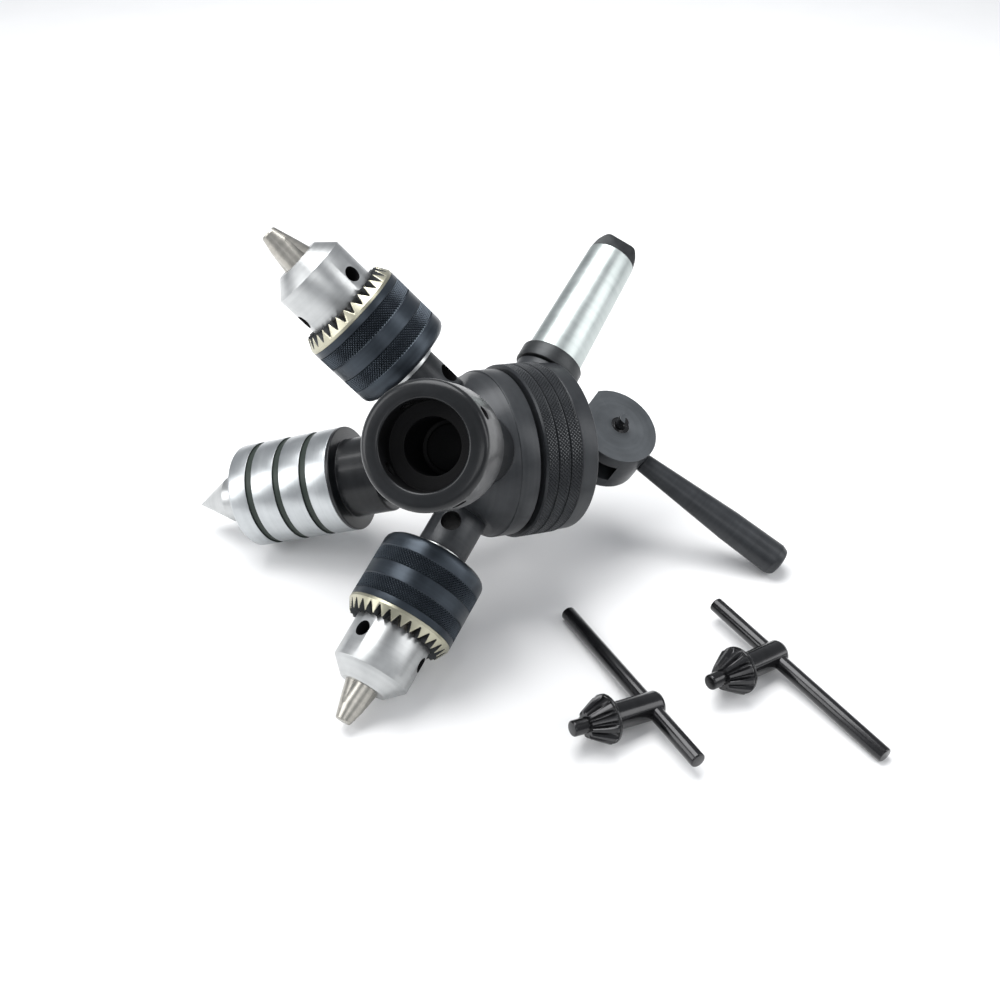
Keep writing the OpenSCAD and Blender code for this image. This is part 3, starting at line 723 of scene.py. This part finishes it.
def chuck_jaw(c, number, place):
    """A tilted round, kept to its third of the chuck and to the cone that the tips form."""
    tip = NOSE_LEN + JAW_OUT
    piece = turned(f"gripping_jaw_{c}{number}", [
        (0, JAW_BACK), (12.4, JAW_BACK), (13.1, JAW_BACK + 0.8), (13.1, NOSE_LEN - 1),
        (7.1, NOSE_LEN + 0.2), (3.2, tip - 0.5), (2.8, tip), (0, tip),
    ], columns=250)
    line = shift(JAW_FACE_R, 0, NOSE_LEN) @ turn("Y", -JAW_TILT) @ OFF_SEAM
    third = prism("third", [(0, 0), (40, -69.2), (40, 69.2)], 0, 100)
    cut(piece, (line, rod(JAW_R, -34, 20, 160)), (shift(JAW_GAP), third), smooth=6,
        operation="INTERSECT")
    body = f"chuck_{c}_jaw_{number}"
    fitted(piece, place, body, "jaw_steel", JAW, f"jaw_{c}{number}")


def chuck_adapter(c, place):
    outline = [
        (0, SPIGOT_AT), (SPIGOT_R, SPIGOT_AT), (SPIGOT_R, SEAT_AT), (10.25, SEAT_AT),
        (10.25, CHUCK_AT - BACK_OUT, 0.4), (THREAD_R, CHUCK_AT - BACK_OUT),
        (THREAD_R, CHUCK_AT + 13), (0, CHUCK_AT + 13),
    ]
    piece = turned(f"chuck_adapter_{c}", outline, columns=128)
    tommy = mounts[f"tommy_hole_{c}"]
    along = place.inverted() @ axes(tommy["pos_m"], tommy["axis"], place.col[2].xyz)
    # the tommy hole is lined with painted shade
    cut(piece, (along, lined(rod(4, -20, 20), BORE_SHADE)), soften=0.3)
    fitted(piece, place, "index_head", "satin_black", SATIN, f"adapter_{c}")


for c in "ab":
    upright = station(STATIONS[c])
    rolls = [roll_about(upright, joints[f"chuck_{c}_jaw_{n}_slide"]["axis"]) for n in (1, 2, 3)]
    chuck = upright @ turn("Z", rolls[0]) @ shift(z=CHUCK_AT)
    for number, roll in enumerate(rolls, 1):
        chuck_jaw(c, number, upright @ turn("Z", roll) @ shift(z=CHUCK_AT))
    chuck_sleeve(c, chuck)
    chuck_gear(c, chuck)
    chuck_body(c, chuck)
    chuck_adapter(c, upright)


# ---------- revolving centre ----------

LIVE_AT, LIVE_LEN, LIVE_R = 67.5, 46.4, 22.0
LIVE_NECK_R, FLANGE_AT, FLANGE_R = 12.5, 49.0, 16.5
LIVE_GROOVES, GROOVE_DEEP, GROOVE_WIDE = (9.2, 21.8, 34.9), 0.7, 3.0
CAP_R, REAR_RACE_R, FRONT_RACE_AT = 18.5, 14.0, 14.0
POINT_R, POINT_OUT = 10.0, 10.8


def revolving_centre():
    place = station(STATIONS["centre"])
    front = LIVE_AT + LIVE_LEN
    neck = turned("centre_shoulder", [
        (0, SPIGOT_AT), (SPIGOT_R, SPIGOT_AT), (SPIGOT_R, SEAT_AT), (LIVE_NECK_R, SEAT_AT),
        (LIVE_NECK_R, FLANGE_AT), (FLANGE_R, FLANGE_AT, 0.8), (FLANGE_R, LIVE_AT - 1.6, 0.4),
        (LIVE_R, LIVE_AT - 1.6, 0.4), (LIVE_R, LIVE_AT, 0.2),
        (15, LIVE_AT), (15, LIVE_AT + 6), (0, LIVE_AT + 6),
    ])
    fitted(neck, place, "index_head", "black_oxide", BLACK, "centre_neck")
    outline = [(15, LIVE_AT), (LIVE_R, LIVE_AT, 0.3)]
    for z in LIVE_GROOVES:
        z0, z1, floor_r = LIVE_AT + z, LIVE_AT + z + GROOVE_WIDE, LIVE_R - GROOVE_DEEP
        outline += [(LIVE_R, z0, 0.15), (floor_r, z0), (floor_r, z1), (LIVE_R, z1, 0.15)]
    seat = front - FRONT_RACE_AT
    outline += [
        (LIVE_R, front, 1.0), (CAP_R, front), (CAP_R, seat), (13, seat), (13, LIVE_AT + 18),
        (REAR_RACE_R, LIVE_AT + 18), (REAR_RACE_R, LIVE_AT + 6), (15, LIVE_AT + 6),
    ]
    housing = turned("grooved_housing", outline, columns=224)
    painted(housing, GROOVE, lambda r, z: LIVE_R - 0.8 < r < LIVE_R - 0.25 and z < front - 2)
    fitted(housing, place, "index_head", "polished_steel", POLISHED, "centre_housing")
    cap = turned("housing_cap", [
        (POINT_R + 0.3, front - 5), (CAP_R, front - 5), (CAP_R, front - 0.4, 0.2),
        (POINT_R + 0.3, front - 0.4, 0.3),
    ])
    fitted(cap, place, "index_head", "polished_steel", POLISHED, "centre_cap")
    tip = front + POINT_OUT + (POINT_R - 0.25) / math.tan(math.radians(30))
    point = turned("live_point", [
        (0, LIVE_AT + 6.4), (5.6, LIVE_AT + 6.4), (6, LIVE_AT + 6.8), (6, LIVE_AT + 16),
        (11.4, LIVE_AT + 16), (11.4, seat), (POINT_R, seat),
        (POINT_R, front + POINT_OUT, 0.25), (0.25, tip, 0.15), (0, tip),
    ], columns=128)
    fitted(point, place, "live_spindle", "ground_steel", GROUND, "centre_point")


revolving_centre()


# ---------- die holder ----------

DIE_R, DIE_RIM, SEAT_DIE_R, DIE_SEAT_T = 21.75, 103.0, 15.1, 11.0
DIE_NECK_R, DIE_BACK = 13.5, 60.0
DIE_STEM_R, DIE_STEM_END = 8.5, 71.0
DIE_SCREW_R = 2.5
DIE_HOLE_ROLL = 20


def die_holder():
    place = station(STATIONS["die"])
    arbor = turned("die_stem", [
        (0, SPIGOT_AT), (SPIGOT_R, SPIGOT_AT), (SPIGOT_R, SEAT_AT), (DIE_NECK_R, SEAT_AT),
        (DIE_NECK_R, DIE_BACK), (DIE_STEM_R, DIE_BACK), (DIE_STEM_R, DIE_STEM_END, 0.5),
        (0, DIE_STEM_END),
    ], columns=128)
    # the end of the stem, deep in the cup, is painted shade
    painted(arbor, BORE_SHADE, lambda r, z: z > DIE_STEM_END - 1)
    fitted(arbor, place, "index_head", "black_oxide", BLACK, "die_arbor")
    cup = turned("die_holder", [
        (DIE_STEM_R, DIE_BACK), (DIE_NECK_R, DIE_BACK), (DIE_NECK_R, 63, 2),
        (DIE_R - 0.3, 80.6, 3), (DIE_R, 84),
        (DIE_R, DIE_RIM, 2.6), (SEAT_DIE_R, DIE_RIM, 1.0), (SEAT_DIE_R, DIE_RIM - DIE_SEAT_T, 0.3),
        (9.8, DIE_RIM - DIE_SEAT_T, 0.4), (9.8, DIE_STEM_END + 0.2),
        (DIE_STEM_R, DIE_STEM_END + 0.2),
    ], columns=224)
    holes = []
    for k in range(4):
        across = turn("Z", DIE_HOLE_ROLL + 90 * k) @ shift(z=DIE_RIM - DIE_SEAT_T / 2 - 0.6)
        # the screw holes are lined with painted shade
        holes.append((across @ turn("Y", 90), lined(rod(DIE_SCREW_R, 0, 40, 48), BORE_SHADE)))
    cut(cup, *holes, soften=0.2)
    # the inside of the cup is painted shade
    painted(cup, BORE_SHADE, lambda r, z: r < SEAT_DIE_R + 0.1 and z > DIE_STEM_END + 0.1)
    fitted(cup, place, "index_head", "black_oxide", BLACK, "die_cup")


die_holder()


# ---------- chuck keys ----------

BAR_LEN, BAR_R = 90.0, 3.0
STEM_R, STEM_HEEL, PILOT_R = 5.3, -3.9, 3.0
PINION_R, PINION_AT, PINION_TEETH = 9.3, 20.0, 12
KEY_REACH = 34.5


def pinion(name):
    """Straight bevel pinion: each tooth has a flat top, and the spaces run down to the pilot."""
    bm = bmesh.new()
    per_tooth = 12
    columns = PINION_TEETH * per_tooth
    rows = ((PINION_AT - 0.4, 9.0, 8.7), (PINION_AT + 0.6, 9.3, 7.3), (PINION_AT + 4.2, 7.4, 5.6),
            (PINION_AT + 8.0, 5.3, 4.0), (PINION_AT + 8.5, 4.9, 3.9))

    def share(k):
        """How far across from root to top a column is: a trapezoid round each tooth."""
        x = abs((k % per_tooth) / per_tooth - 0.5) * 2
        return min(1, max(0, (0.86 - x) / 0.5))

    rings = []
    for z, top, root in rows:
        rings.append([])
        for k in range(columns):
            r = root + (top - root) * share(k)
            a = 2 * math.pi * k / columns
            rings[-1].append(bm.verts.new((r * math.cos(a) * MM, r * math.sin(a) * MM, z * MM)))
    for low, high in zip(rings, rings[1:]):
        for k in range(columns):
            n = (k + 1) % columns
            face(bm, low[k], low[n], high[n], high[k])
    for z, around, r in ((rows[0][0], rings[0], 3.0), (rows[-1][0], rings[-1], 2.5)):
        hub = ring(bm, r, z, columns)
        for k in range(columns):
            n = (k + 1) % columns
            face(bm, around[k], around[n], hub[n], hub[k])
    return finished(name, bm, 24)


def chuck_key(number):
    pilot, slide = mounts[f"key_{number}_pilot"], joints[f"key_{number}_bar_slide"]
    place = axes(pilot["pos_m"], pilot["axis"], slide["axis"])
    place = place @ shift(z=-(KEY_REACH - 3.35))
    stem = turned(f"key_barrel_{number}", [
        (0, STEM_HEEL), (4.7, STEM_HEEL, 0.7), (STEM_R, -2.6, 0.6), (STEM_R, PINION_AT - 1.6, 0.3),
        (PINION_R - 0.1, PINION_AT - 1.5, 0.4), (PINION_R, PINION_AT - 0.5, 0.3),
        (PINION_R - 0.4, PINION_AT - 0.3), (PILOT_R, PINION_AT - 0.3), (PILOT_R, KEY_REACH, 0.7),
        (0, KEY_REACH),
    ], columns=96)
    # the bar's hole is lined with painted shade
    cut(stem, (turn("Y", 90), lined(rod(BAR_R + 0.04, -20, 20), BORE_SHADE)), soften=0.2)
    joined(stem, pinion("teeth"))
    fitted(stem, place, f"key_{number}", "gloss_black", GLOSS, f"key_stem_{number}")
    low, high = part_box(f"key_bar_{number}")
    middle = (low + high) / 2
    half = BAR_LEN / 2
    bar = turned(f"key_handle_{number}", [
        (0, -half), (BAR_R, -half, 0.6), (BAR_R, half, 0.6), (0, half),
    ], columns=64)
    fitted(bar, axes(middle, slide["axis"], (0, 0, 1)), f"key_{number}_bar", "gloss_black", GLOSS,
           f"key_bar_{number}")


for number in (1, 2):
    chuck_key(number)


# ---------- stage ----------


def floor():
    bm = bmesh.new()
    bmesh.ops.create_grid(bm, size=6)
    made = finished("floor", bm)
    made.location.z = cad_box[0].z
    n = Nodes("floor_paint")
    speckle = n.noise(n.place(), 0.02, 2.0)
    tone = n.ramp(speckle, (0.3, (0.90, 0.90, 0.90)), (0.7, (0.92, 0.92, 0.92)))
    n.link(tone, n.shader.inputs["Base Color"])
    n.shader.inputs["Roughness"].default_value = 0.9
    n.shader.inputs["Specular IOR Level"].default_value = 0.1
    made.data.materials[0] = n.material


def softbox(name, place, aim, size, power):
    light = bpy.data.lights.new(name, "AREA")
    light.shape = "RECTANGLE"
    light.size, light.size_y = size
    light.energy = power
    lamp = bpy.data.objects.new(name, light)
    lamp.location = place
    lamp.rotation_euler = (Vector(aim) - Vector(place)).to_track_quat("-Z", "Y").to_euler()
    bpy.context.scene.collection.objects.link(lamp)


def lights():
    middle = (cad_box[0] + cad_box[1]) / 2
    softbox("overhead", (-0.15, 0.25, 0.95), middle, (0.9, 0.6), 11)
    softbox("left", (-0.95, -0.25, 0.55), middle, (0.5, 0.8), 5)
    softbox("right", (0.9, -0.15, 0.5), middle, (0.35, 0.8), 3)
    softbox("front", (0.1, -1.1, 0.75), middle, (1.0, 0.35), 2.5)
    world = bpy.data.worlds.new("studio")
    world.use_nodes = True
    sky = world.node_tree.nodes["Background"]
    sky.inputs["Color"].default_value = (0.92, 0.95, 1.0, 1)
    sky.inputs["Strength"].default_value = 0.45
    bpy.context.scene.world = world


def camera():
    """The viewing angle: above the front edge, looking down and back."""
    azimuth, elevation, lean = 0.49, 39.39, -0.77
    aim, distance = Vector((-3.9, 1.6, 42.1)) * MM, 483.4 * MM
    a, e = math.radians(azimuth), math.radians(elevation)
    back = Vector((math.sin(a) * math.cos(e), -math.cos(a) * math.cos(e), math.sin(e)))
    data = bpy.data.cameras.new("camera")
    data.sensor_width, data.lens = 36, 43.2
    data.clip_start = 0.01
    made = bpy.data.objects.new("camera", data)
    level = (-back).to_track_quat("-Z", "Y").to_matrix().to_4x4()
    made.matrix_world = Matrix.Translation(aim + back * distance) @ level @ turn("Z", lean)
    bpy.context.scene.collection.objects.link(made)
    bpy.context.scene.camera = made


floor()
lights()
camera()
bpy.context.scene.view_settings.view_transform = "Standard"
